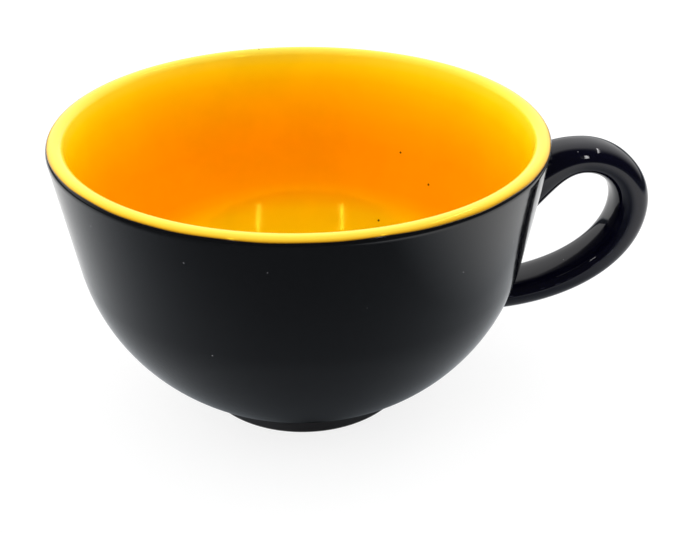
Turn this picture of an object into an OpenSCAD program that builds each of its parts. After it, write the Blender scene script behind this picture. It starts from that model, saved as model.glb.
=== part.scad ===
// Cappuccino cup: a thrown stoneware bowl on a foot ring, a pulled loop handle luted to it
// with slip, yellow glaze inside and over the rim, black glaze outside and on the handle.
// The cup stands on z = 0 about the Z axis, and the handle points along +X.

/* [Bowl] */
// Outside diameter across the rim
rim_d = 110; // [96:1:124]
// Height from the table to the top of the rim
cup_h = 67; // [60:1:74]
// Lean of the straight upper wall from upright, in degrees
wall_lean = 8.3; // [5:0.1:12]
// Height where the round belly runs into the straight wall
belly_top_z = 39; // [35:0.5:43]
// Thickness of the glazed wall at the rim
wall_t = 3.8; // [3.2:0.1:4.8]
// Height of the glazed floor inside, above the table
floor_z = 8; // [7:0.1:10]
// Diameter of the flat part of the floor inside
floor_d = 26; // [18:1:32]

/* [Foot] */
// Outside diameter of the foot ring
foot_d = 51.6; // [44:0.2:58]
// Height where the belly meets the foot ring
foot_h = 4.5; // [3.8:0.1:5.5]
// Width of the bare ring that stands on the table
foot_ring_w = 4.4; // [3.4:0.1:6]
// Rounding of the bare ring's edges
foot_edge_r = 0.8; // [0.5:0.1:1.1]
// Hollow round where the belly meets the foot ring
foot_fillet_r = 1.2; // [0.6:0.1:2]
// Depth of the glazed well under the cup
well_depth = 3.2; // [2.8:0.1:4]
// Rounding in the corner of the well
well_cove_r = 1.2; // [0.6:0.1:1.4]

/* [Handle] */
// How far the loop's centre line stands out from the rim
loop_reach = 23; // [19:0.1:27]
// Drop from the rim to the loop's outermost point
loop_drop = 23.1; // [20:0.1:26]
// How far the crest of the loop stands out from the rim
crest_reach = 10.3; // [8:0.1:13]
// Drop from the rim to the crest of the loop
crest_drop = 10.7; // [8:0.1:13]
// Drop from the rim to the upper joint
upper_joint_drop = 19; // [17:0.1:21]
// Rise of the loop as it leaves the upper joint, in degrees
upper_rise = 49; // [35:1:60]
// Drop from the rim to the lower joint
lower_joint_drop = 45.9; // [43:0.1:48]
// Rise of the loop as it leaves the lower joint, in degrees
lower_rise = 0; // [-10:1:15]
// How far the loop's centre line starts inside the wall
joint_depth = 2; // [1:0.1:3]
// Thickness of the loop at the upper joint
upper_joint_t = 10.6; // [9:0.1:12]
// Thickness of the loop at its crest
crest_t = 6.5; // [5:0.1:8]
// Thickness of the loop at its outermost point
grip_t = 8.4; // [7:0.1:10]
// Thickness of the loop at the lower joint
lower_joint_t = 6.9; // [6:0.1:9]
// Width of the loop at the upper joint
upper_joint_w = 14; // [12:0.1:16]
// Width of the loop along the grip
grip_w = 12.2; // [10:0.1:14]
// Width of the loop at the lower joint
lower_joint_w = 13.5; // [11:0.1:16]
// Squareness of the loop's oval section, where 2 is an ellipse
section_power = 2.4; // [2:0.1:3]

/* [Glaze and slip] */
// Thickness of the glaze
glaze_t = 0.4; // [0.25:0.05:0.55]
// Thickness of the slip between the handle and the bowl
slip_t = 0.8; // [0.5:0.1:1.2]
// Place of the colour change on the rim's round, in degrees up from its outer side
colour_line = 32; // [0:1:60]
// Share of the foot ring's outer edge that the glaze runs down over
edge_cover_share = 0.75; // [0.5:0.05:0.85]
// Height of the bare band in the well, between the foot ring's inner edge and the glaze
bare_band = 0.5; // [0.3:0.1:1]

/* [Hidden] */

// Steps along each round of the bowl, and rings and sides of the handle
revolve_facets = 128;
belly_steps = 20;
rim_steps = 12;
inside_steps = 20;
small_steps = 4;
handle_steps = [14, 14, 24];
handle_sides = 28;
// Rings at each end of the handle that reach through the wall
joint_rings = 9;

// The loop's two handles on each of its three curves, as shares of the span that they follow
loop_curve_shares = [[0.53, 0.37], [0.56, 0.55], [0.58, 0.56]];

// The wall's outward side, and the rim as a half round between its two faces
out_dir = [cos(wall_lean), -sin(wall_lean)];
rim_r = wall_t / 2;
rim_c = [rim_d / 2 - rim_r, cup_h - rim_r];
wall_top = rim_c + rim_r * out_dir;

// The belly: tangent to the straight wall, and down to the foot ring
foot_r = foot_d / 2;
belly_top = [wall_r(belly_top_z), belly_top_z];
belly_span = belly_top - [foot_r, foot_h];
belly_r = (belly_span * belly_span) / (2 * (out_dir * belly_span));
belly_c = belly_top - belly_r * out_dir;

// The hollow round between the foot ring's side and the belly
fillet_x = foot_r + foot_fillet_r;
fillet_rise = sqrt(pow(belly_r + foot_fillet_r, 2) - pow(fillet_x - belly_c.x, 2));
fillet_c = [fillet_x, belly_c.y - fillet_rise];
foot_angle = atan2(-fillet_rise, fillet_x - belly_c.x);

// The inside: tangent to the wall's inner face and to the flat floor
inner_top = rim_c - rim_r * out_dir;
inside_r = (out_dir * (inner_top - [floor_d / 2, floor_z])) / (1 - sin(wall_lean));
inside_c = [floor_d / 2, floor_z + inside_r];

// The well under the cup, and where its glaze stops short of the bare ring
well_r = foot_r - foot_ring_w - 2 * glaze_t;
cove_c = [well_r - well_cove_r, well_depth - well_cove_r];
well_glaze_z = foot_edge_r + bare_band;

// The turn of the glaze round the foot ring's outer edge, which stops above the table
edge_c = [foot_r - glaze_t - foot_edge_r, foot_edge_r];
edge_turn = asin(edge_cover_share * foot_edge_r / (foot_edge_r + glaze_t));

// The loop's centre line, in the plane of X and Z
upper_joint_z = cup_h - upper_joint_drop;
lower_joint_z = cup_h - lower_joint_drop;
upper_root = [outside_r(upper_joint_z) - joint_depth, upper_joint_z];
lower_root = [outside_r(lower_joint_z) - joint_depth, lower_joint_z];
crest = [rim_d / 2 + crest_reach, cup_h - crest_drop];
outermost = [rim_d / 2 + loop_reach, cup_h - loop_drop];
upper_dir = [cos(upper_rise), sin(upper_rise)];
lower_dir = [cos(lower_rise), sin(lower_rise)];
loop_sections = handle_sections();
upper_sections = [for (i = [0:joint_rings]) loop_sections[i]];
lower_sections = [for (i = [len(loop_sections) - 1 - joint_rings:len(loop_sections) - 1]) loop_sections[i]];

// Radius of the straight wall's outer face at a height
function wall_r(z) = wall_top.x - (wall_top.y - z) * tan(wall_lean);

// Radius of the glazed outside at a height between the foot and the rim
function outside_r(z) =
    z > belly_top_z ? wall_r(z) : belly_c.x + sqrt(pow(belly_r, 2) - pow(z - belly_c.y, 2));

// Points along an arc, with or without its first one
function arc(c, r, from, to, steps, first = 0) =
    [for (i = [first:steps]) let (a = from + (to - from) * i / steps) c + r * [cos(a), sin(a)]];

function reverse(list) = [for (i = [len(list) - 1:-1:0]) list[i]];

// Outlines of the cup at a depth under the glaze's face: 0 is the glaze, glaze_t the clay
function foot_to_wall(depth) = concat(
    arc(fillet_c, foot_fillet_r + depth, 180, 180 + foot_angle, small_steps),
    arc(belly_c, belly_r - depth, foot_angle, -wall_lean, belly_steps, 1));

function rim_round(depth, from, to) = arc(rim_c, rim_r - depth, from, to, rim_steps);

function wall_to_floor(depth) = concat(
    arc(inside_c, inside_r + depth, -wall_lean, -90, inside_steps),
    [[0, floor_z - depth]]);

function well(depth) = concat(
    [[0, well_depth + depth]],
    arc(cove_c, well_cove_r + depth, 90, 0, small_steps));

function bare_ring() = concat(
    arc([well_r + glaze_t + foot_edge_r, foot_edge_r], foot_edge_r, 180, 270, small_steps),
    arc(edge_c, foot_edge_r, -90, -edge_turn, small_steps));

function covered_edge(depth, first = 0) =
    arc(edge_c, foot_edge_r + glaze_t - depth, -edge_turn, 0, small_steps, first);

// A point and the way along a cubic curve
function along(p, t) =
    pow(1 - t, 3) * p[0] + 3 * t * pow(1 - t, 2) * p[1] + 3 * t * t * (1 - t) * p[2] + pow(t, 3) * p[3];
function way(p, t) =
    let (d = pow(1 - t, 2) * (p[1] - p[0]) + 2 * t * (1 - t) * (p[2] - p[1]) + t * t * (p[3] - p[2]))
    d / norm(d);
function ease(t) = t * t * (3 - 2 * t);

// The loop's three curves: root to crest, crest to outermost point, and back to the lower root
function loop_curves() = let (s = loop_curve_shares) [
    [upper_root, upper_root + upper_dir * s[0][0] * (crest.x - upper_root.x),
     crest - [s[0][1] * (crest.x - upper_root.x), 0], crest],
    [crest, crest + [s[1][0] * (outermost.x - crest.x), 0],
     outermost + [0, s[1][1] * (crest.y - outermost.y)], outermost],
    [outermost, outermost - [0, s[2][0] * (outermost.y - lower_root.y)],
     lower_root + lower_dir * s[2][1] * (outermost.x - lower_root.x), lower_root]];

// Every section of the loop as [centre, way, thickness, width], with both ends run on into the wall
function handle_sections() =
    let (curves = loop_curves(),
         ts = [upper_joint_t, crest_t, grip_t, lower_joint_t],
         ws = [upper_joint_w, grip_w, grip_w, lower_joint_w])
    concat(
        [[upper_root - upper_dir * upper_joint_t, upper_dir, ts[0], ws[0]]],
        [for (k = [0:2], i = [k == 0 ? 0 : 1:handle_steps[k]])
            let (t = i / handle_steps[k], e = ease(t))
            [along(curves[k], t), way(curves[k], t),
             ts[k] + (ts[k + 1] - ts[k]) * e, ws[k] + (ws[k + 1] - ws[k]) * e]],
        [[lower_root - lower_dir * lower_joint_t, -lower_dir, ts[3], ws[3]]]);

// One section's outline, a squarish oval set across the centre line
function section_points(s, depth) = [
    for (j = [0:handle_sides - 1])
        let (a = 360 * j / handle_sides,
             u = (s[2] / 2 - depth) * sign(cos(a)) * pow(abs(cos(a)), 2 / section_power),
             v = (s[3] / 2 - depth) * sign(sin(a)) * pow(abs(sin(a)), 2 / section_power))
        [s[0].x - s[1].y * u, v, s[0].y + s[1].x * u]];

// Triangles between one ring of points and the next
function band(a, b) = [
    for (j = [0:handle_sides - 1], half = [0:1])
        let (k = (j + 1) % handle_sides)
        half == 0 ? [a + j, b + k, b + j] : [a + j, a + k, b + k]];

// A solid lofted through sections
module loft(sections, depth) {
    last = (len(sections) - 1) * handle_sides;
    polyhedron(
        points = [for (s = sections) each section_points(s, depth)],
        faces = concat(
            [[for (j = [handle_sides - 1:-1:0]) j]],
            [for (i = [0:len(sections) - 2]) each band(i * handle_sides, (i + 1) * handle_sides)],
            [[for (j = [0:handle_sides - 1]) last + j]]));
}

// A skin lofted through sections, from the glaze's face in to the clay, open at both ends
module loft_skin(sections) {
    count = len(sections);
    inner = count * handle_sides;
    last = (count - 1) * handle_sides;
    polyhedron(
        points = concat(
            [for (s = sections) each section_points(s, 0)],
            [for (s = sections) each section_points(s, glaze_t)]),
        faces = concat(
            [for (i = [0:count - 2]) each band(i * handle_sides, (i + 1) * handle_sides)],
            [for (i = [0:count - 2]) each band(inner + (i + 1) * handle_sides, inner + i * handle_sides)],
            band(inner, 0),
            band(last, inner + last)));
}

module revolve(outline) {
    rotate_extrude($fn = revolve_facets) polygon(outline);
}

// The bowl without its hollows, at a depth under the glaze's face, with the wall run up to the rim's height
module bowl_blank(depth) {
    revolve(concat(
        [[0, fillet_c.y]],
        foot_to_wall(depth),
        [[wall_r(cup_h) - depth / cos(wall_lean), cup_h], [0, cup_h]]));
}

// The slip pad at one end of the handle
module slip_joint(sections) {
    difference() {
        intersection() {
            loft(sections, glaze_t);
            bowl_blank(glaze_t - slip_t);
        }
        bowl_blank(glaze_t);
    }
}

// The stoneware bowl and its foot ring, one piece of clay
module bowl() {
    color("tan")
        revolve(concat(
            well(glaze_t),
            bare_ring(),
            covered_edge(glaze_t, 1),
            foot_to_wall(glaze_t),
            rim_round(glaze_t, -wall_lean, 180 - wall_lean),
            wall_to_floor(glaze_t)));
}

// The stoneware loop, cut at both ends to sit on the slip
module handle() {
    color("tan")
        difference() {
            loft(loop_sections, glaze_t);
            bowl_blank(glaze_t - slip_t);
        }
}

// The slip that holds the handle's upper end
module upper_slip_joint() {
    color("burlywood") slip_joint(upper_sections);
}

// The slip that holds the handle's lower end
module lower_slip_joint() {
    color("burlywood") slip_joint(lower_sections);
}

// Yellow glaze over the floor, the inner wall and the rim
module inside_glaze() {
    color("orange")
        revolve(concat(
            rim_round(0, colour_line, 180 - wall_lean),
            wall_to_floor(0),
            reverse(wall_to_floor(glaze_t)),
            reverse(rim_round(glaze_t, colour_line, 180 - wall_lean))));
}

// Black glaze from the foot ring up to the colour change, open where the handle joins
module outside_glaze() {
    color("black")
        difference() {
            revolve(concat(
                covered_edge(0),
                foot_to_wall(0),
                rim_round(0, -wall_lean, colour_line),
                reverse(rim_round(glaze_t, -wall_lean, colour_line)),
                reverse(foot_to_wall(glaze_t)),
                reverse(covered_edge(glaze_t))));
            loft(upper_sections, 0);
            loft(lower_sections, 0);
        }
}

// Black glaze on the handle, down to the clay of the bowl at both joints
module handle_glaze() {
    color("black")
        difference() {
            loft_skin(loop_sections);
            bowl_blank(glaze_t);
        }
}

// Black glaze in the well under the cup
module foot_well_glaze() {
    color("black")
        revolve(concat(
            well(0),
            [[well_r, well_glaze_z], [well_r + glaze_t, well_glaze_z]],
            reverse(well(glaze_t))));
}

bowl();
handle();
upper_slip_joint();
lower_slip_joint();
inside_glaze();
outside_glaze();
handle_glaze();
foot_well_glaze();
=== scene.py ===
import math

import bmesh
import bpy
from mathutils import Matrix, Vector


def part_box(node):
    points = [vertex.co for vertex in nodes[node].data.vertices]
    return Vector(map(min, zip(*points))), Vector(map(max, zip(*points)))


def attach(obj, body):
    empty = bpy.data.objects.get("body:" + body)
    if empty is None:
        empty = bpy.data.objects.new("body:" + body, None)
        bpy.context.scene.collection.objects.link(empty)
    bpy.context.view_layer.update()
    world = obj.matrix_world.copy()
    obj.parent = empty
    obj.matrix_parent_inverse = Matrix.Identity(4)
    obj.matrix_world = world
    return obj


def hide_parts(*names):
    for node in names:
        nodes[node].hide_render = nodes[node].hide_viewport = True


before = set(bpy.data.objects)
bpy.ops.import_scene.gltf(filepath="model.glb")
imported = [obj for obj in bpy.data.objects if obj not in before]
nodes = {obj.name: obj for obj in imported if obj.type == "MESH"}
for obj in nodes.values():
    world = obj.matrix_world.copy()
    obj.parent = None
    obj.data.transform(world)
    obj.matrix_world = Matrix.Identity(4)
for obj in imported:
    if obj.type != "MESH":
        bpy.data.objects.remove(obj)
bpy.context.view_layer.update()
scene = bpy.context.scene
scene.view_settings.view_transform = "Standard"
mm = 0.001  # the meshes are drawn in millimetres and scaled once
print("frame loaded:", len(nodes), "nodes")

# the camera stands where the photograph was taken from
shot = {
    "place": (-10.85, -206.97, 149.45),  # mm
    "heading": 6.073,  # degrees from +Y towards +X
    "pitch": 29.996,  # degrees down
    "roll": 0.448,  # degrees
    "focalPixels": 996,
    "pictureWidth": 700,  # pixels
    "sensor": 36,  # mm
    "nearest": 0.01,  # metres from the camera, where the view starts
}
camera = bpy.data.objects.new("shotCamera", bpy.data.cameras.new("shotCamera"))
scene.collection.objects.link(camera)
scene.camera = camera
camera.data.sensor_width = shot["sensor"]
camera.data.lens = shot["sensor"] * shot["focalPixels"] / shot["pictureWidth"]
camera.data.clip_start = shot["nearest"]
camera.matrix_world = (
    Matrix.Translation(Vector(shot["place"]) * mm)
    @ Matrix.Rotation(math.radians(-shot["heading"]), 4, "Z")
    @ Matrix.Rotation(math.radians(90 - shot["pitch"]), 4, "X")
    @ Matrix.Rotation(math.radians(shot["roll"]), 4, "Z")
)
print("camera set, lens", round(camera.data.lens, 1), "mm")


def linear(hexColour, alpha=1.0):
    channels = [int(hexColour[i:i + 2], 16) / 255 for i in (0, 2, 4)]
    return [c / 12.92 if c <= 0.04045 else ((c + 0.055) / 1.055) ** 2.4 for c in channels] + [alpha]


# adds a node, sets its inputs or properties by name, and links sockets into it; the stops of a colour
# ramp are (share, colour, alpha), the first of them at 0
def addNode(tree, kind, settings=None, links=None, stops=None):
    node = tree.nodes.new(kind)
    for name, value in (settings or {}).items():
        if isinstance(name, int) or name in node.inputs:
            node.inputs[name].default_value = value
        else:
            setattr(node, name, value)
    for name, socket in (links or {}).items():
        tree.links.new(socket, node.inputs[name])
    if stops:
        elements = node.color_ramp.elements
        elements.remove(elements[1])
        for share, hexColour, alpha in stops:
            element = elements.new(share) if share else elements[0]
            element.color = linear(hexColour, alpha)
    return node


def newMaterial(name):
    material = bpy.data.materials.new(name)
    material.use_nodes = True
    material.node_tree.nodes.clear()
    return material, material.node_tree


# noise and cell scales, from the size of one feature in mm
def perFeature(size):
    return 1 / (size * mm)


noiseSpan = (0.3, 0.7)  # nearly all of a noise's values lie between these

# yellow glaze: a clear, glassy coat that mottles a little, with light and shade painted on by height,
# pitted by a few burst bubbles, and turns to amber where it thins out over the black at the rim
yellowLook = {
    "glazeAndPaintedLightByHeight": (  # mm up the cup, and the glaze's yellow there with light painted in: painted shade deepest low on the wall, lighter on the floor, and a pale painted highlight towards the rim
        (0, "ffd800"), (19, "ffd600"), (24, "ffce00"), (26.2, "ffbe00"), (28.2, "ffb000"),
        (31, "ffa600"), (42, "ffa400"), (48, "ffaa00"), (54, "ffb400"), (59, "ffc200"),
        (63, "ffd60c"), (65.5, "ffe030"), (67, "ffe65a")),
    "mottled": 0.06,  # share by which the mottle darkens it
    "tint": "ffec40",  # what the coloured coat gives back of the room
    "rough": (0.07, 0.13),
    "thin": (  # share of the way to the black, colour and cover as the coat thins out
        (0, "ffc400", 0), (0.5, "f8b800", 0.4), (0.82, "d08c08", 0.8), (1, "3c1e04", 1)),
    "pinhole": "4a2a06",
    "mottle": 16,  # mm
    "mottleSpan": (0.35, 0.65),  # noise values from its darkest to clear
    "pinholeCell": 10,  # mm between pinholes
    "pinholeRadius": 0.24,  # mm, drawn a little large so that it shows
    "pinholeCore": 0.7,  # share of the radius that is fully dark
    "burst": (  # place and radius in mm of larger burst bubbles on the far wall
        ((35.3, 30.7, 35.6), 0.42), ((22.7, 34.9, 23.3), 0.42), ((28.7, 38.2, 41.9), 0.38)),
    "burstCore": 0.5,  # share of a burst bubble's radius that is fully dark
    "pitDepth": 0.05,  # mm
    "ripple": 14,  # mm
    "peel": 1.6,  # mm
    "rippleHeight": 0.02,  # mm
    "peelHeight": 0.003,  # mm
}


def yellowGlaze():
    material, tree = newMaterial("yellowStonewareGlaze")
    look = yellowLook
    coords = addNode(tree, "ShaderNodeTexCoord").outputs["Object"]
    mottle = addNode(tree, "ShaderNodeTexNoise", {"Scale": perFeature(look["mottle"]), "Detail": 3},
                     {"Vector": coords})
    height = addNode(tree, "ShaderNodeSeparateXYZ", None, {0: coords})
    lowest, highest = look["glazeAndPaintedLightByHeight"][0][0], look["glazeAndPaintedLightByHeight"][-1][0]
    depth = addNode(tree, "ShaderNodeMapRange", {"From Min": lowest * mm, "From Max": highest * mm},
                    {"Value": height.outputs["Z"]})
    shares = [((level - lowest) / (highest - lowest), colour, 1) for level, colour in look["glazeAndPaintedLightByHeight"]]
    # painted light and shade by height: darker amber low on the wall, lighter on the floor, paler towards
    # the rim
    coat = addNode(tree, "ShaderNodeValToRGB", None, {0: depth.outputs["Result"]}, shares)
    shade = addNode(tree, "ShaderNodeMapRange", {
        "From Min": look["mottleSpan"][0], "From Max": look["mottleSpan"][1],
        "To Min": 1 - look["mottled"], "To Max": 1}, {"Value": mottle.outputs["Fac"]})
    colour = addNode(tree, "ShaderNodeMix", {"data_type": "RGBA", "blend_type": "MULTIPLY", 0: 1},
                     {6: coat.outputs["Color"], 7: shade.outputs["Result"]})
    cells = addNode(tree, "ShaderNodeTexVoronoi", {"Scale": perFeature(look["pinholeCell"])},
                    {"Vector": coords})
    pinhole = addNode(tree, "ShaderNodeMapRange", {
        "interpolation_type": "SMOOTHSTEP",
        "From Min": look["pinholeCore"] * look["pinholeRadius"] / look["pinholeCell"],
        "From Max": look["pinholeRadius"] / look["pinholeCell"],
        "To Min": 1, "To Max": 0}, {"Value": cells.outputs["Distance"]})
    pit = pinhole.outputs["Result"]
    for place, radius in look["burst"]:
        apart = addNode(tree, "ShaderNodeVectorMath", {"operation": "DISTANCE", 1: Vector(place) * mm},
                        {0: coords})
        bubble = addNode(tree, "ShaderNodeMapRange", {
            "interpolation_type": "SMOOTHSTEP", "From Min": look["burstCore"] * radius * mm,
            "From Max": radius * mm, "To Min": 1, "To Max": 0}, {"Value": apart.outputs["Value"]})
        deeper = addNode(tree, "ShaderNodeMath", {"operation": "MAXIMUM"},
                         {0: pit, 1: bubble.outputs["Result"]})
        pit = deeper.outputs[0]
    pitted = addNode(tree, "ShaderNodeMix", {"data_type": "RGBA", 7: linear(look["pinhole"])},
                     {0: pit, 6: colour.outputs[2]})
    thin = addNode(tree, "ShaderNodeAttribute", {"attribute_name": "thinGlaze"})
    amber = addNode(tree, "ShaderNodeValToRGB", None, {0: thin.outputs["Fac"]}, look["thin"])
    edged = addNode(tree, "ShaderNodeMix", {"data_type": "RGBA"},
                    {0: amber.outputs["Alpha"], 6: pitted.outputs[2], 7: amber.outputs["Color"]})
    ripple = addNode(tree, "ShaderNodeTexNoise", {"Scale": perFeature(look["ripple"]), "Detail": 1},
                     {"Vector": coords})
    peel = addNode(tree, "ShaderNodeTexNoise", {"Scale": perFeature(look["peel"]), "Detail": 2},
                   {"Vector": coords})
    rough = addNode(tree, "ShaderNodeMapRange", {
        "From Min": noiseSpan[0], "From Max": noiseSpan[1],
        "To Min": look["rough"][0], "To Max": look["rough"][1]}, {"Value": peel.outputs["Fac"]})
    waves = addNode(tree, "ShaderNodeBump", {"Distance": look["rippleHeight"] * mm},
                    {"Height": ripple.outputs["Fac"]})
    skin = addNode(tree, "ShaderNodeBump", {"Distance": look["peelHeight"] * mm},
                   {"Height": peel.outputs["Fac"], "Normal": waves.outputs["Normal"]})
    pits = addNode(tree, "ShaderNodeBump", {"Distance": look["pitDepth"] * mm, "invert": True},
                   {"Height": pit, "Normal": skin.outputs["Normal"]})
    shader = addNode(tree, "ShaderNodeBsdfPrincipled",
                     {"IOR": 1.5, "Specular IOR Level": 0.9, "Specular Tint": linear(look["tint"])}, {
                         "Base Color": edged.outputs[2], "Roughness": rough.outputs["Result"],
                         "Normal": pits.outputs["Normal"]})
    addNode(tree, "ShaderNodeOutputMaterial", None, {"Surface": shader.outputs["BSDF"]})
    return material


# black glaze: an iron-black glassy coat, dark to the eye except where it mirrors the room, with soft
# waves that bend the reflections and a few pale specks
blackLook = {
    "bowl": {
        "base": "08080a", "shade": "0c0d0f", "rough": (0.06, 0.14),
        "speckCell": 6.0,  # mm between specks
        "ripple": 11, "rippleHeight": 0.03},  # mm
    "handle": {
        "base": "040410", "shade": "060616", "rough": (0.03, 0.09),
        "speckCell": 4.2,  # mm between specks
        "ripple": 2.6, "rippleHeight": 0.012},  # mm
    "foot": {"colour": "303032", "from": 15, "to": 4},  # mm up: painted light, the colour lightens to grey towards the foot
    "paleArmLine": {
        "colour": "4a4a58", "side": -0.3, "width": 0.035,  # shares of the handle's half thickness
        "sway": 0.7, "swayLength": 14, "gap": 3,  # lengths in mm
        "broken": (0.48, 0.7),  # noise values between which the line comes in
        "from": 1.9, "to": 2.3},  # along the loop, from its outermost point towards the lower joint
    "speck": "8d8d90",
    "speckRadius": 0.16,  # mm, drawn a little large so that it shows
    "speckCore": 0.6,  # share of the radius that is fully pale
    "mottle": 18,  # mm
    "peel": 1.4,  # mm
    "peelHeight": 0.003,  # mm
}


# a thin, broken, pale line painted along each side of the lower arm
def paleArmLine(tree, coords, under):
    line = blackLook["paleArmLine"]
    section = addNode(tree, "ShaderNodeAttribute", {"attribute_name": "sectionSide"})
    side = addNode(tree, "ShaderNodeSeparateXYZ", None, {0: section.outputs["Vector"]})
    sway = addNode(tree, "ShaderNodeTexNoise", {"Scale": perFeature(line["swayLength"]), "Detail": 2},
                   {"Vector": coords})
    swayed = addNode(tree, "ShaderNodeMath", {"operation": "MULTIPLY_ADD", 1: line["sway"]},
                     {0: sway.outputs["Fac"], 2: side.outputs["X"]})
    near = addNode(tree, "ShaderNodeMath", {"operation": "SUBTRACT", 1: line["side"] + line["sway"] / 2},
                   {0: swayed.outputs[0]})
    off = addNode(tree, "ShaderNodeMath", {"operation": "ABSOLUTE"}, {0: near.outputs[0]})
    drawn = addNode(tree, "ShaderNodeMapRange", {"From Max": line["width"], "To Min": 1, "To Max": 0},
                    {"Value": off.outputs[0]})
    gaps = addNode(tree, "ShaderNodeTexNoise", {"Scale": perFeature(line["gap"]), "Detail": 4},
                   {"Vector": coords})
    kept = addNode(tree, "ShaderNodeMapRange", {
        "From Min": line["broken"][0], "From Max": line["broken"][1]}, {"Value": gaps.outputs["Fac"]})
    along = addNode(tree, "ShaderNodeAttribute", {"attribute_name": "alongLoop"})
    lower = addNode(tree, "ShaderNodeMapRange", {"From Min": line["from"], "From Max": line["to"]},
                    {"Value": along.outputs["Fac"]})
    broken = addNode(tree, "ShaderNodeMath", {"operation": "MULTIPLY"},
                     {0: lower.outputs["Result"], 1: kept.outputs["Result"]})
    shown = addNode(tree, "ShaderNodeMath", {"operation": "MULTIPLY"},
                    {0: drawn.outputs["Result"], 1: broken.outputs[0]})
    return addNode(tree, "ShaderNodeMix", {"data_type": "RGBA", 7: linear(line["colour"])},
                   {0: shown.outputs[0], 6: under})


def blackGlaze(part):
    material, tree = newMaterial("blackStonewareGlaze." + part)
    look = blackLook
    tone = look[part]
    coords = addNode(tree, "ShaderNodeTexCoord").outputs["Object"]
    mottle = addNode(tree, "ShaderNodeTexNoise", {"Scale": perFeature(look["mottle"]), "Detail": 3},
                     {"Vector": coords})
    colour = addNode(tree, "ShaderNodeMix", {"data_type": "RGBA", 6: linear(tone["base"]),
                                             7: linear(tone["shade"])}, {0: mottle.outputs["Fac"]})
    height = addNode(tree, "ShaderNodeSeparateXYZ", None, {0: coords})
    # painted light: the colour lightens to grey towards the foot
    paintedFootLightShare = addNode(tree, "ShaderNodeMapRange", {
        "interpolation_type": "SMOOTHSTEP", "From Min": look["foot"]["from"] * mm,
        "From Max": look["foot"]["to"] * mm}, {"Value": height.outputs["Z"]})
    withPaintedFootLight = addNode(tree, "ShaderNodeMix", {"data_type": "RGBA", 7: linear(look["foot"]["colour"])},
                     {0: paintedFootLightShare.outputs["Result"], 6: colour.outputs[2]})
    cells = addNode(tree, "ShaderNodeTexVoronoi", {"Scale": perFeature(tone["speckCell"])},
                    {"Vector": coords})
    speck = addNode(tree, "ShaderNodeMapRange", {
        "interpolation_type": "SMOOTHSTEP",
        "From Min": look["speckCore"] * look["speckRadius"] / tone["speckCell"],
        "From Max": look["speckRadius"] / tone["speckCell"],
        "To Min": 1, "To Max": 0}, {"Value": cells.outputs["Distance"]})
    specked = addNode(tree, "ShaderNodeMix", {"data_type": "RGBA", 7: linear(look["speck"])},
                      {0: speck.outputs["Result"], 6: withPaintedFootLight.outputs[2]})
    lined = specked
    if part == "handle":
        lined = paleArmLine(tree, coords, specked.outputs[2])
    ripple = addNode(tree, "ShaderNodeTexNoise", {"Scale": perFeature(tone["ripple"]), "Detail": 1},
                     {"Vector": coords})
    peel = addNode(tree, "ShaderNodeTexNoise", {"Scale": perFeature(look["peel"]), "Detail": 2},
                   {"Vector": coords})
    rough = addNode(tree, "ShaderNodeMapRange", {
        "From Min": noiseSpan[0], "From Max": noiseSpan[1],
        "To Min": tone["rough"][0], "To Max": tone["rough"][1]}, {"Value": peel.outputs["Fac"]})
    waves = addNode(tree, "ShaderNodeBump", {"Distance": tone["rippleHeight"] * mm},
                    {"Height": ripple.outputs["Fac"]})
    skin = addNode(tree, "ShaderNodeBump", {"Distance": look["peelHeight"] * mm},
                   {"Height": peel.outputs["Fac"], "Normal": waves.outputs["Normal"]})
    shader = addNode(tree, "ShaderNodeBsdfPrincipled", {"IOR": 1.5}, {
        "Base Color": lined.outputs[2], "Roughness": rough.outputs["Result"],
        "Normal": skin.outputs["Normal"]})
    addNode(tree, "ShaderNodeOutputMaterial", None, {"Surface": shader.outputs["BSDF"]})
    return material


# fired clay: bare stoneware, dry and matt, buff with darker iron grains and a fine gritty feel
clayLook = {
    "bare": {"light": "c3a985", "dark": "a98a64", "grain": "6e4f33", "grit": 0.9, "gritHeight": 0.02},
    "slip": {"light": "cdb595", "dark": "b79b77", "grain": "8a6a48", "grit": 0.5, "gritHeight": 0.01},
    "rough": (0.75, 0.95),
    "patch": 6,  # mm
    "grainCell": 1.6,  # mm between iron grains
    "grainRadius": 0.22,  # mm
}


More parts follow.
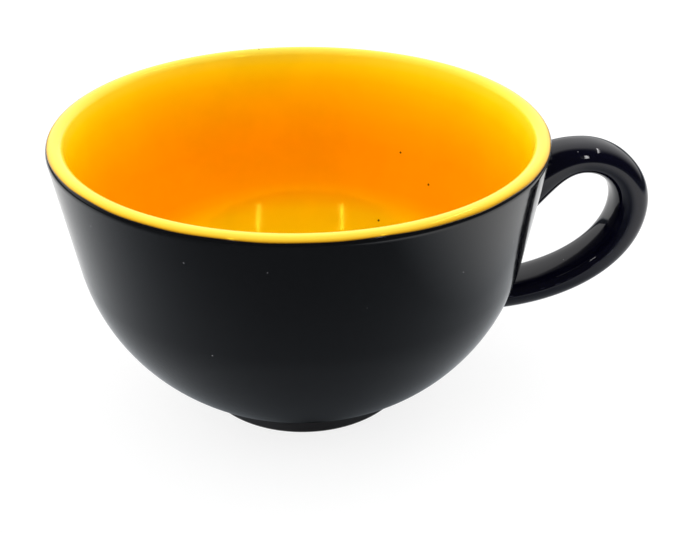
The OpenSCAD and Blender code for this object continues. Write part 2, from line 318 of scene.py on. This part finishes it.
def firedClay(kind):
    material, tree = newMaterial("firedStoneware." + kind)
    look = clayLook
    tone = look[kind]
    coords = addNode(tree, "ShaderNodeTexCoord").outputs["Object"]
    patch = addNode(tree, "ShaderNodeTexNoise", {"Scale": perFeature(look["patch"]), "Detail": 4},
                    {"Vector": coords})
    colour = addNode(tree, "ShaderNodeMix", {"data_type": "RGBA", 6: linear(tone["dark"]),
                                             7: linear(tone["light"])}, {0: patch.outputs["Fac"]})
    cells = addNode(tree, "ShaderNodeTexVoronoi", {"Scale": perFeature(look["grainCell"])},
                    {"Vector": coords})
    grain = addNode(tree, "ShaderNodeMapRange", {
        "From Min": 0, "From Max": look["grainRadius"] / look["grainCell"],
        "To Min": 1, "To Max": 0}, {"Value": cells.outputs["Distance"]})
    grained = addNode(tree, "ShaderNodeMix", {"data_type": "RGBA", 7: linear(tone["grain"])},
                      {0: grain.outputs["Result"], 6: colour.outputs[2]})
    grit = addNode(tree, "ShaderNodeTexNoise", {"Scale": perFeature(tone["grit"]), "Detail": 5},
                   {"Vector": coords})
    rough = addNode(tree, "ShaderNodeMapRange", {"To Min": look["rough"][0], "To Max": look["rough"][1]},
                    {"Value": grit.outputs["Fac"]})
    bump = addNode(tree, "ShaderNodeBump", {"Distance": tone["gritHeight"] * mm},
                   {"Height": grit.outputs["Fac"]})
    shader = addNode(tree, "ShaderNodeBsdfPrincipled", {"IOR": 1.45}, {
        "Base Color": grained.outputs[2], "Roughness": rough.outputs["Result"],
        "Normal": bump.outputs["Normal"]})
    addNode(tree, "ShaderNodeOutputMaterial", None, {"Surface": shader.outputs["BSDF"]})
    return material


bareClay = firedClay("bare")
firedSlip = firedClay("slip")
insideYellow = yellowGlaze()
bowlBlack = blackGlaze("bowl")
handleBlack = blackGlaze("handle")
print("materials made")

# the bowl's section, in mm: rim and height come from the frame, the rest is what a potter would set
bowl = {
    "wallLean": 8.3,  # degrees from upright
    "bellyTop": 39.0,  # height where the belly runs into the wall
    "wall": 3.8,
    "floorHeight": 8.0,
    "floorRadius": 13.0,
    "footRadius": 25.8,
    "footHeight": 4.5,
    "footRing": 4.4,
    "footEdge": 0.8,
    "footFillet": 1.2,
    "wellDepth": 3.2,
    "wellCove": 1.2,
    "glaze": 0.4,
    "edgeCover": 0.75,  # share of the foot ring's outer edge that the glaze runs over
    "bareBand": 0.5,  # bare clay in the well, above the ring's inner edge
    "colourLine": 32,  # degrees up the rim's round, from its outer side
    "turns": 192,  # steps round the axis
    "steps": {"bend": 48, "rim": 20, "fillet": 8, "edge": 6},  # along each kind of arc
    "weld": 1e-4,  # points closer than this become one
}
arcSteps = bowl["steps"]
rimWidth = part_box("outside_glaze")[1].y / mm
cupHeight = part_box("inside_glaze")[1].z / mm
glaze = bowl["glaze"]
lean = math.radians(bowl["wallLean"])
outwards = Vector((math.cos(lean), -math.sin(lean)))
rimRound = bowl["wall"] / 2
rimCentre = Vector((rimWidth - rimRound, cupHeight - rimRound))
wallTop = rimCentre + rimRound * outwards


def wallRadius(z):
    return wallTop.x - (wallTop.y - z) * math.tan(lean)


# the belly's arc runs from the wall's foot, tangent to it, down to the foot ring
bellyEnd = Vector((wallRadius(bowl["bellyTop"]), bowl["bellyTop"]))
bellySpan = bellyEnd - Vector((bowl["footRadius"], bowl["footHeight"]))
bellyRound = bellySpan.length_squared / (2 * outwards.dot(bellySpan))
bellyCentre = bellyEnd - bellyRound * outwards
filletX = bowl["footRadius"] + bowl["footFillet"]
filletDrop = math.sqrt((bellyRound + bowl["footFillet"]) ** 2 - (filletX - bellyCentre.x) ** 2)
filletCentre = Vector((filletX, bellyCentre.y - filletDrop))
footAngle = math.degrees(math.atan2(-filletDrop, filletX - bellyCentre.x))
# the inside's arc is tangent to the inner wall and to the flat floor
innerTop = rimCentre - rimRound * outwards
floorEdge = Vector((bowl["floorRadius"], bowl["floorHeight"]))
insideRound = outwards.dot(innerTop - floorEdge) / (1 - math.sin(lean))
insideCentre = floorEdge + Vector((0, insideRound))
wellRadius = bowl["footRadius"] - bowl["footRing"] - 2 * glaze
coveCentre = Vector((wellRadius - bowl["wellCove"], bowl["wellDepth"] - bowl["wellCove"]))
footEdge = bowl["footEdge"]
edgeCentre = Vector((bowl["footRadius"] - glaze - footEdge, footEdge))
edgeTurn = math.degrees(math.asin(bowl["edgeCover"] * footEdge / (footEdge + glaze)))


def outsideRadius(z):
    if z > bowl["bellyTop"]:
        return wallRadius(z)
    return bellyCentre.x + math.sqrt(bellyRound ** 2 - (z - bellyCentre.y) ** 2)


# a section is a list of stops, each a point or an arc (centre, radius, from, to, steps), at a depth under
# the glaze's face: 0 is the glaze, glaze is the clay
def outsideStops(depth):
    return [
        (filletCentre, bowl["footFillet"] + depth, 180, 180 + footAngle, arcSteps["fillet"]),
        (bellyCentre, bellyRound - depth, footAngle, -bowl["wallLean"], arcSteps["bend"]),
    ]


def rimStops(depth, start, end):
    return [(rimCentre, rimRound - depth, start, end, arcSteps["rim"])]


def insideStops(depth):
    return [
        (insideCentre, insideRound + depth, -bowl["wallLean"], -90, arcSteps["bend"]),
        Vector((0, bowl["floorHeight"] - depth)),
    ]


def wellStops(depth):
    return [
        Vector((0, bowl["wellDepth"] + depth)),
        (coveCentre, bowl["wellCove"] + depth, 90, 0, arcSteps["fillet"]),
    ]


def backwards(stops):
    return [s if isinstance(s, Vector) else (s[0], s[1], s[3], s[2], s[4]) for s in reversed(stops)]


def onArc(centre, radius, angle):
    return centre + radius * Vector((math.cos(math.radians(angle)), math.sin(math.radians(angle))))


# one vertex is pushed along the straight stretches and swung along the arcs, in the plane of X and Z
def drawSection(mesh, stops, closed):
    tip = None
    for stop in stops:
        point = stop if isinstance(stop, Vector) else onArc(stop[0], stop[1], stop[2])
        if tip is None:
            tip = first = mesh.verts.new((point.x, 0, point.y))
        else:
            tip = bmesh.ops.extrude_vert_indiv(mesh, verts=[tip])["verts"][0]
            tip.co = (point.x, 0, point.y)
        if not isinstance(stop, Vector):
            centre, radius, start, end, steps = stop
            swung = bmesh.ops.spin(mesh, geom=[tip], cent=(centre.x, 0, centre.y), axis=(0, -1, 0),
                                   angle=math.radians(end - start), steps=steps)
            tip = [item for item in swung["geom_last"] if isinstance(item, bmesh.types.BMVert)][0]
    if closed:
        mesh.edges.new((tip, first))


def addPiece(name, mesh, material):
    bmesh.ops.scale(mesh, vec=(mm, mm, mm), verts=mesh.verts)
    data = bpy.data.meshes.new(name)
    mesh.to_mesh(data)
    mesh.free()
    data.polygons.foreach_set("use_smooth", [True] * len(data.polygons))
    data.materials.append(material)
    piece = bpy.data.objects.new(name, data)
    scene.collection.objects.link(piece)
    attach(piece, "root")
    return piece


def lathe(stops, closed=False):
    mesh = bmesh.new()
    drawSection(mesh, stops, closed)
    bmesh.ops.spin(mesh, geom=mesh.verts[:] + mesh.edges[:], cent=(0, 0, 0), axis=(0, 0, 1),
                   angle=2 * math.pi, steps=bowl["turns"], use_merge=True)
    bmesh.ops.remove_doubles(mesh, verts=mesh.verts, dist=bowl["weld"])
    bmesh.ops.recalc_face_normals(mesh, faces=mesh.faces)
    return mesh


# the colour line wanders a little on the rim, as a dipped edge does
colourWave = {
    "swings": ((2, 2.6, 0.4), (5, 1.8, 2.1), (11, 1.5, 4.0), (23, 1.2, 1.3)),  # times round, degrees, phase
    "reach": 26,  # degrees of the rim's round that move with the line
    "thinBand": 48,  # degrees of thinned yellow next to the line
}


def waveAt(around):
    return sum(size * math.sin(count * around + phase) for count, size, phase in colourWave["swings"])


# moves the rings next to the colour line along the rim's round, and marks where the yellow thins
def waveColourLine(mesh, thinLayer=None):
    for vert in mesh.verts:
        flat = Vector((math.hypot(vert.co.x, vert.co.y), vert.co.z)) - rimCentre
        angle = math.degrees(math.atan2(flat.y, flat.x))
        off = angle - bowl["colourLine"]
        if flat.length > rimRound + glaze:
            continue
        if thinLayer:
            vert[thinLayer] = max(0, 1 - off / colourWave["thinBand"])
        if abs(off) > colourWave["reach"]:
            continue
        around = math.atan2(vert.co.y, vert.co.x)
        swing = waveAt(around) * (1 - abs(off) / colourWave["reach"])
        moved = onArc(rimCentre, flat.length, angle + swing)
        vert.co = (moved.x * math.cos(around), moved.x * math.sin(around), moved.y)


wellSide = Vector((wellRadius + glaze + footEdge, footEdge))
clayMesh = lathe(
    wellStops(glaze)
    + [(wellSide, footEdge, 180, 270, arcSteps["edge"])]
    + [(edgeCentre, footEdge, 270, 360, arcSteps["edge"])]
    + outsideStops(glaze)
    + rimStops(glaze, -bowl["wallLean"], 180 - bowl["wallLean"])
    + insideStops(glaze))
clayBowl = addPiece("clayBowl", clayMesh, bareClay)
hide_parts("bowl")

rimYellow = (bowl["colourLine"], 180 - bowl["wallLean"])
insideMesh = lathe(
    backwards(insideStops(glaze))
    + backwards(rimStops(glaze, *rimYellow))
    + rimStops(0, *rimYellow)
    + insideStops(0))
waveColourLine(insideMesh, insideMesh.verts.layers.float.new("thinGlaze"))
insideGlaze = addPiece("insideGlaze", insideMesh, insideYellow)
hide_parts("inside_glaze")

rimBlack = (-bowl["wallLean"], bowl["colourLine"])
lowEnd = onArc(edgeCentre, footEdge + glaze / 2, -edgeTurn)
outsideMesh = lathe(
    [(lowEnd, glaze / 2, 180 - edgeTurn, 360 - edgeTurn, arcSteps["edge"])]
    + [(edgeCentre, footEdge + glaze, -edgeTurn, 0, arcSteps["edge"])]
    + outsideStops(0)
    + rimStops(0, *rimBlack)
    + backwards(rimStops(glaze, *rimBlack))
    + backwards(outsideStops(glaze))
    + [(edgeCentre, footEdge, 0, -edgeTurn, arcSteps["edge"])],
    closed=True)
waveColourLine(outsideMesh)
outsideGlaze = addPiece("outsideGlaze", outsideMesh, bowlBlack)
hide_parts("outside_glaze")

wellEdge = Vector((wellRadius + glaze / 2, footEdge + bowl["bareBand"]))
wellMesh = lathe(
    wellStops(glaze)
    + [(wellEdge, glaze / 2, 0, -180, arcSteps["edge"])]
    + backwards(wellStops(0)))
wellGlaze = addPiece("footWellGlaze", wellMesh, bowlBlack)
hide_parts("foot_well_glaze")
print("bowl turned, with its glaze coats")

# the pulled loop, in mm, along three curves: upper root to crest, to outermost point, to lower root
loop = {
    "reach": 23.0,  # centre line, out from the rim
    "drop": 23.1,  # outermost point, down from the rim
    "crestReach": 10.3,
    "crestDrop": 10.35,
    "upperDrop": 19.0,
    "upperRise": 49,  # degrees
    "lowerDrop": 45.9,
    "lowerRise": 0,  # degrees
    "rootDepth": 2.0,  # how far the centre line starts inside the wall
    "thickness": (10.6, 7.2, 8.4, 6.9),  # upper joint, crest, outermost point, lower joint
    "width": (14.0, 12.2, 12.2, 13.5),
    "squareness": 2.4,  # 2 is an ellipse
    "pull": ((0.53, 0.37), (0.56, 0.55), (0.58, 0.56)),  # curve handles, as shares of their spans
    "rings": 96,
    "sides": 64,
    "jointZone": 0.85,  # share of a curve over which the rings lean to meet the wall
    "halvings": 40,  # of the search for the wall
    "fillet": 1.1,  # glaze gathered in the corner at the wall
    "filletSteps": 5,
    "flange": 1.7,  # reach of the glaze along the wall
    "flangeSink": 0.03,  # how far its edge dips under the wall's face
}
upperZ = cupHeight - loop["upperDrop"]
lowerZ = cupHeight - loop["lowerDrop"]
upperRoot = Vector((outsideRadius(upperZ) - loop["rootDepth"], upperZ))
lowerRoot = Vector((outsideRadius(lowerZ) - loop["rootDepth"], lowerZ))
crest = Vector((rimWidth + loop["crestReach"], cupHeight - loop["crestDrop"]))
outermost = Vector((rimWidth + loop["reach"], cupHeight - loop["drop"]))
upperWay = onArc(Vector((0, 0)), 1, loop["upperRise"])
lowerWay = onArc(Vector((0, 0)), 1, loop["lowerRise"])
(upperPull, crestPull), (topPull, sidePull), (dropPull, lowerPull) = loop["pull"]
curves = (
    (upperRoot, upperRoot + upperWay * upperPull * (crest.x - upperRoot.x),
     crest - Vector((crestPull * (crest.x - upperRoot.x), 0)), crest),
    (crest, crest + Vector((topPull * (outermost.x - crest.x), 0)),
     outermost + Vector((0, sidePull * (crest.y - outermost.y))), outermost),
    (outermost, outermost - Vector((0, dropPull * (outermost.y - lowerRoot.y))),
     lowerRoot + lowerWay * lowerPull * (outermost.x - lowerRoot.x), lowerRoot),
)
lastStage = len(curves)


# a point on the loop's skin: each curve is one stage, and the skin runs straight on past both roots
def loopPoint(stage, side):
    index = min(max(int(stage), 0), lastStage - 1)
    share = min(max(stage - index, 0), 1)
    points = list(curves[index])
    while len(points) > 2:
        points = [a.lerp(b, share) for a, b in zip(points, points[1:])]
    way = (points[1] - points[0]).normalized()
    past = stage - min(max(stage, 0), lastStage)
    centre = points[0].lerp(points[1], share) + way * loop["thickness"][0] * past
    eased = share * share * (3 - 2 * share)
    thick, wide = (
        (loop[size][index] + (loop[size][index + 1] - loop[size][index]) * eased) / 2
        for size in ("thickness", "width"))
    return Vector((centre.x - way.y * side.x * thick, side.y * wide, centre.y + way.x * side.x * thick))


# the stage at which one side line of the loop comes out of the wall, from one inside it to one outside
def wallStage(side, inner, outer):
    for _ in range(loop["halvings"]):
        middle = (inner + outer) / 2
        point = loopPoint(middle, side)
        if math.hypot(point.x, point.y) < outsideRadius(point.z):
            inner = middle
        else:
            outer = middle
    return outer


# a point on the wall, at a depth under its face
def onWall(point, depth):
    radius = outsideRadius(point.z) - depth
    around = math.atan2(point.y, point.x)
    return Vector((radius * math.cos(around), radius * math.sin(around), point.z))


def extrudeRing(mesh, edges):
    made = bmesh.ops.extrude_edge_only(mesh, edges=edges)["geom"]
    ring = [item for item in made if isinstance(item, bmesh.types.BMVert)]
    return ring, [item for item in made if isinstance(item, bmesh.types.BMEdge)
                  and item.verts[0] in ring and item.verts[1] in ring]


def wallFlange(mesh, corner):
    middle = sum((v.co for e in corner for v in e.verts), Vector()) / (2 * len(corner))
    for vert in extrudeRing(mesh, corner)[0]:
        normal = Vector((vert.co.x, vert.co.y, 0)).normalized()
        away = vert.co - middle
        away -= away.dot(normal) * normal
        vert.co = onWall(vert.co + away.normalized() * loop["flange"], loop["flangeSink"])


loopMesh = bmesh.new()
sideLayer = loopMesh.verts.layers.float_vector.new("sectionSide")
alongLayer = loopMesh.verts.layers.float.new("alongLoop")
bmesh.ops.create_circle(loopMesh, segments=loop["sides"], radius=1)
for vert in loopMesh.verts:
    flat = [math.copysign(abs(c) ** (2 / loop["squareness"]), c) for c in vert.co[:2]]
    vert[sideLayer] = Vector((flat[0], flat[1], 0))
ring, ringEdges = loopMesh.verts[:], loopMesh.edges[:]
upperCorner = ringEdges
zone = loop["jointZone"]
for step in range(loop["rings"] + 1):
    stage = lastStage * step / loop["rings"]
    if step:
        ring, ringEdges = extrudeRing(loopMesh, ringEdges)
    for vert in ring:
        side = vert[sideLayer]
        leaned = stage
        if stage < zone:
            leaned = zone - (zone - stage) * (zone - wallStage(side, -1, 1)) / zone
        elif stage > lastStage - zone:
            wallEnd = wallStage(side, lastStage + 1, lastStage - 1)
            leaned = lastStage - zone + (stage - lastStage + zone) * (wallEnd - lastStage + zone) / zone
        vert.co = loopPoint(leaned, side)
        vert[alongLayer] = leaned
lowerCorner = ringEdges
for corner in (upperCorner, lowerCorner):
    wallFlange(loopMesh, corner)
bmesh.ops.bevel(loopMesh, geom=upperCorner + lowerCorner, offset=loop["fillet"], affect="EDGES",
                segments=loop["filletSteps"], profile=0.5, material=-1)
bmesh.ops.recalc_face_normals(loopMesh, faces=loopMesh.faces)
handleGlaze = addPiece("handleGlaze", loopMesh, handleBlack)
coat = handleGlaze.modifiers.new("glazeCoat", "SOLIDIFY")
coat.thickness = glaze * mm
coat.offset = -1
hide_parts("handle_glaze")
print("handle pulled, with a glaze fillet at both joints")

# the clay of the handle and the slip under it stay as built, under the glaze
hiddenClay = {"handle": bareClay, "upper_slip_joint": firedSlip, "lower_slip_joint": firedSlip}
for name, material in hiddenClay.items():
    nodes[name].data.materials.clear()
    nodes[name].data.materials.append(material)

# plain white studio, as a light tent has it: a pale floor that keeps the cup's soft shadow, a bright roof,
# narrow tubes behind the camera and on the right, and a dark card of painted shade that shows only in
# reflections
studio = {
    "floorSize": 3.0,  # metres
    "floorColour": "f4f4f3",
    "floorGlow": 0.82,
    "floorShade": 0.22,  # share of the floor's white that the lamps give, and that a shadow takes
    "walls": 2.8,  # light from the tent's walls, from its open side and from above
    "openSide": 0.06,
    "brightSide": (-0.3, 0.95, 0),  # the way from the open side to the brightest wall
    "brighten": (-0.9, -0.2),  # where along that way the walls' light comes in, from -1 to 1
    "above": 0.36,
    "wallTop": 0.85,  # sine of the height to which the walls reach
    "cameraSide": 0.04,  # how bright the room shows in the glaze, behind the camera and behind the cup
    "farSide": 0.9,
    "sideChange": (-0.1, 0.6),  # Y of the directions between which one becomes the other
    "farTop": (0.82, 0.97),  # sines of the heights between which the far side darkens
    "card": {  # metres: painted shade that only the glaze sees, fading in towards the camera and closing in round the foot as a painted contact shadow
        "from": 0.095, "to": -0.12, "cover": 0.97, "footFront": (0, -0.026, 0), "footReach": 0.044,
        "rightEdge": (0.045, 0.13),  # where it ends on the right
        "sheetEnd": (0.24, 0.4),  # where the white sheet under the cup ends, to the eye of the glaze
        "size": 3.0, "lift": 0.0005, "glow": 0.085, "colour": "e2edf8"},
    "aim": (0, 0, 0.03),
    "lamps": {  # metres, each a lit strip between two ends
        "roof": {"ends": ((0, -0.6, 0.75), (0, 0.9, 0.75)), "width": 2.6, "watts": 11.4,
                 "mirrored": False},  # a soft white cloth that leaves no mark in the glaze
        "rightTube": {
            "ends": ((0.208, -0.387, 0.293), (0.198, -0.237, 0.447)), "width": 0.012, "watts": 0.09,
            "mirrored": True},
        "leftTube": {
            "ends": ((-0.223, -0.367, 0.309), (-0.2, -0.226, 0.453)), "width": 0.012, "watts": 0.09,
            "mirrored": True},
        "backTube": {
            "ends": ((0.341, 0.247, 0.531), (0.351, -0.06, 0.583)), "width": 0.02, "watts": 0.2,
            "mirrored": True},
    },
}


# a flat square of the stage, in metres
def addSheet(name, size, lift, material):
    mesh = bmesh.new()
    bmesh.ops.create_grid(mesh, x_segments=1, y_segments=1, size=size)
    bmesh.ops.translate(mesh, vec=(0, 0, lift), verts=mesh.verts)
    data = bpy.data.meshes.new(name)
    mesh.to_mesh(data)
    mesh.free()
    data.materials.append(material)
    sheet = bpy.data.objects.new(name, data)
    scene.collection.objects.link(sheet)
    return sheet


# 1 on rays that see the room: from the camera, in a gloss, or through something clear
def seenRays(tree, path):
    seen = addNode(tree, "ShaderNodeMath", {"operation": "ADD"},
                   {0: path.outputs["Is Camera Ray"], 1: path.outputs["Is Glossy Ray"]})
    through = addNode(tree, "ShaderNodeMath", {"operation": "ADD", "use_clamp": True},
                      {0: seen.outputs[0], 1: path.outputs["Is Transmission Ray"]})
    return through.outputs[0]


# white sweep paper: an even, matt white that stays white to the eye and dims only in the cup's shadow
def sweepPaper():
    material, tree = newMaterial("whiteSweepPaper")
    path = addNode(tree, "ShaderNodeLightPath")
    paper = addNode(tree, "ShaderNodeBsdfDiffuse", {"Color": linear(studio["floorColour"])})
    shade = addNode(tree, "ShaderNodeBsdfDiffuse", {"Color": [studio["floorShade"]] * 3 + [1]})
    glow = addNode(tree, "ShaderNodeEmission", {"Strength": studio["floorGlow"]})
    white = addNode(tree, "ShaderNodeAddShader", None, {0: shade.outputs[0], 1: glow.outputs[0]})
    both = addNode(tree, "ShaderNodeMixShader", None,
                   {0: seenRays(tree, path), 1: paper.outputs[0], 2: white.outputs[0]})
    addNode(tree, "ShaderNodeOutputMaterial", None, {"Surface": both.outputs[0]})
    return material


# dark card: painted shade on the floor in front of the cup, as a sheet that only the glaze sees: a faint
# bluish grey that fades to clear at its edges and darkens round the foot, so that the glaze turns softly
# from black to the white of the floor
def paintedShadeCard():
    card = studio["card"]
    material, tree = newMaterial("paintedShadeCard")
    coords = addNode(tree, "ShaderNodeTexCoord").outputs["Object"]
    across = addNode(tree, "ShaderNodeSeparateXYZ", None, {0: coords})
    opening = addNode(tree, "ShaderNodeMapRange", {
        "interpolation_type": "SMOOTHSTEP", "From Min": card["from"], "From Max": card["to"],
        "To Min": 1, "To Max": 1 - card["cover"]}, {"Value": across.outputs["Y"]})
    # painted contact shadow: the card darkens round the front of the foot
    reach = addNode(tree, "ShaderNodeVectorMath", {"operation": "DISTANCE", 1: card["footFront"]},
                    {0: coords})
    clearOfContactShadow = addNode(tree, "ShaderNodeMapRange", {"From Max": card["footReach"]},
                  {"Value": reach.outputs["Value"]})
    rightEnd = addNode(tree, "ShaderNodeMapRange", {
        "interpolation_type": "SMOOTHSTEP",
        "From Min": card["rightEdge"][0], "From Max": card["rightEdge"][1],
        "To Max": card["cover"]}, {"Value": across.outputs["X"]})
    beside = addNode(tree, "ShaderNodeMath", {"operation": "MAXIMUM"},
                     {0: opening.outputs["Result"], 1: rightEnd.outputs["Result"]})
    near = addNode(tree, "ShaderNodeMath", {"operation": "MULTIPLY"},
                   {0: beside.outputs[0], 1: clearOfContactShadow.outputs["Result"]})
    sheet = addNode(tree, "ShaderNodeMapRange", {
        "interpolation_type": "SMOOTHSTEP",
        "From Min": card["sheetEnd"][0], "From Max": card["sheetEnd"][1],
        "To Min": 1, "To Max": 1 - card["cover"]}, {"Value": reach.outputs["Value"]})
    share = addNode(tree, "ShaderNodeMath", {"operation": "MULTIPLY"},
                    {0: near.outputs[0], 1: sheet.outputs["Result"]})
    tint = addNode(tree, "ShaderNodeMix", {"data_type": "RGBA", 6: linear(card["colour"]),
                                           7: linear("ffffff")}, {0: share.outputs[0]})
    glow = addNode(tree, "ShaderNodeMath", {"operation": "MULTIPLY", 1: card["glow"]},
                   {0: clearOfContactShadow.outputs["Result"]})
    dark = addNode(tree, "ShaderNodeEmission", None,
                   {"Color": tint.outputs[2], "Strength": glow.outputs[0]})
    clear = addNode(tree, "ShaderNodeBsdfTransparent", None, {"Color": tint.outputs[2]})
    both = addNode(tree, "ShaderNodeMixShader", None,
                   {0: share.outputs[0], 1: dark.outputs[0], 2: clear.outputs[0]})
    addNode(tree, "ShaderNodeOutputMaterial", None, {"Surface": both.outputs[0]})
    return material


# the tent's light on the cup, and what the camera and the glaze see of the room
def studioRoom():
    world = bpy.data.worlds.new("studioRoom")
    world.use_nodes = True
    tree = world.node_tree
    tree.nodes.clear()
    path = addNode(tree, "ShaderNodeLightPath")
    direction = addNode(tree, "ShaderNodeTexCoord").outputs["Generated"]
    way = addNode(tree, "ShaderNodeSeparateXYZ", None, {0: direction})
    side = addNode(tree, "ShaderNodeMapRange", {
        "interpolation_type": "SMOOTHSTEP",
        "From Min": studio["sideChange"][0], "From Max": studio["sideChange"][1],
        "To Min": studio["cameraSide"], "To Max": studio["farSide"]}, {"Value": way.outputs["Y"]})
    wall = addNode(tree, "ShaderNodeMapRange", {
        "interpolation_type": "SMOOTHSTEP",
        "From Min": studio["farTop"][0], "From Max": studio["farTop"][1],
        "To Max": studio["cameraSide"]}, {"Value": way.outputs["Z"], "To Min": side.outputs["Result"]})
    room = addNode(tree, "ShaderNodeMix", {2: 1},
                   {0: path.outputs["Is Glossy Ray"], 3: wall.outputs["Result"]})
    lit = addNode(tree, "ShaderNodeVectorMath", {"operation": "DOT_PRODUCT", 1: studio["brightSide"]},
                  {0: direction})
    walls = addNode(tree, "ShaderNodeMapRange", {
        "interpolation_type": "SMOOTHSTEP",
        "From Min": studio["brighten"][0], "From Max": studio["brighten"][1],
        "To Min": studio["openSide"], "To Max": studio["walls"]}, {"Value": lit.outputs["Value"]})
    tent = addNode(tree, "ShaderNodeMapRange", {
        "interpolation_type": "SMOOTHSTEP", "From Max": studio["wallTop"], "To Max": studio["above"]},
        {"Value": way.outputs["Z"], "To Min": walls.outputs["Result"]})
    strength = addNode(tree, "ShaderNodeMix", None,
                       {0: seenRays(tree, path), 2: tent.outputs["Result"], 3: room.outputs[0]})
    background = addNode(tree, "ShaderNodeBackground", {"Color": linear("ffffff")},
                         {"Strength": strength.outputs[0]})
    addNode(tree, "ShaderNodeOutputWorld", None, {"Surface": background.outputs[0]})
    return world


scene.world = studioRoom()
addSheet("studioFloor", studio["floorSize"], 0, sweepPaper())
cardSheet = addSheet("paintedShadeCard", studio["card"]["size"], studio["card"]["lift"], paintedShadeCard())
for rays in ("camera", "diffuse", "transmission", "shadow"):
    setattr(cardSheet, "visible_" + rays, False)

for name, strip in studio["lamps"].items():
    lamp = bpy.data.objects.new(name, bpy.data.lights.new(name, "AREA"))
    scene.collection.objects.link(lamp)
    start, end = (Vector(point) for point in strip["ends"])
    middle = (start + end) / 2
    lamp.data.shape = "RECTANGLE"
    lamp.data.size, lamp.data.size_y = strip["width"], (end - start).length
    lamp.data.energy = strip["watts"]
    lamp.visible_glossy = strip["mirrored"]
    along = (end - start).normalized()
    across = along.cross(middle - Vector(studio["aim"])).normalized()
    turned = Matrix((across, along, across.cross(along))).transposed()
    lamp.matrix_world = Matrix.Translation(middle) @ turned.to_4x4()
print("studio lit by", len(studio["lamps"]), "lamps")
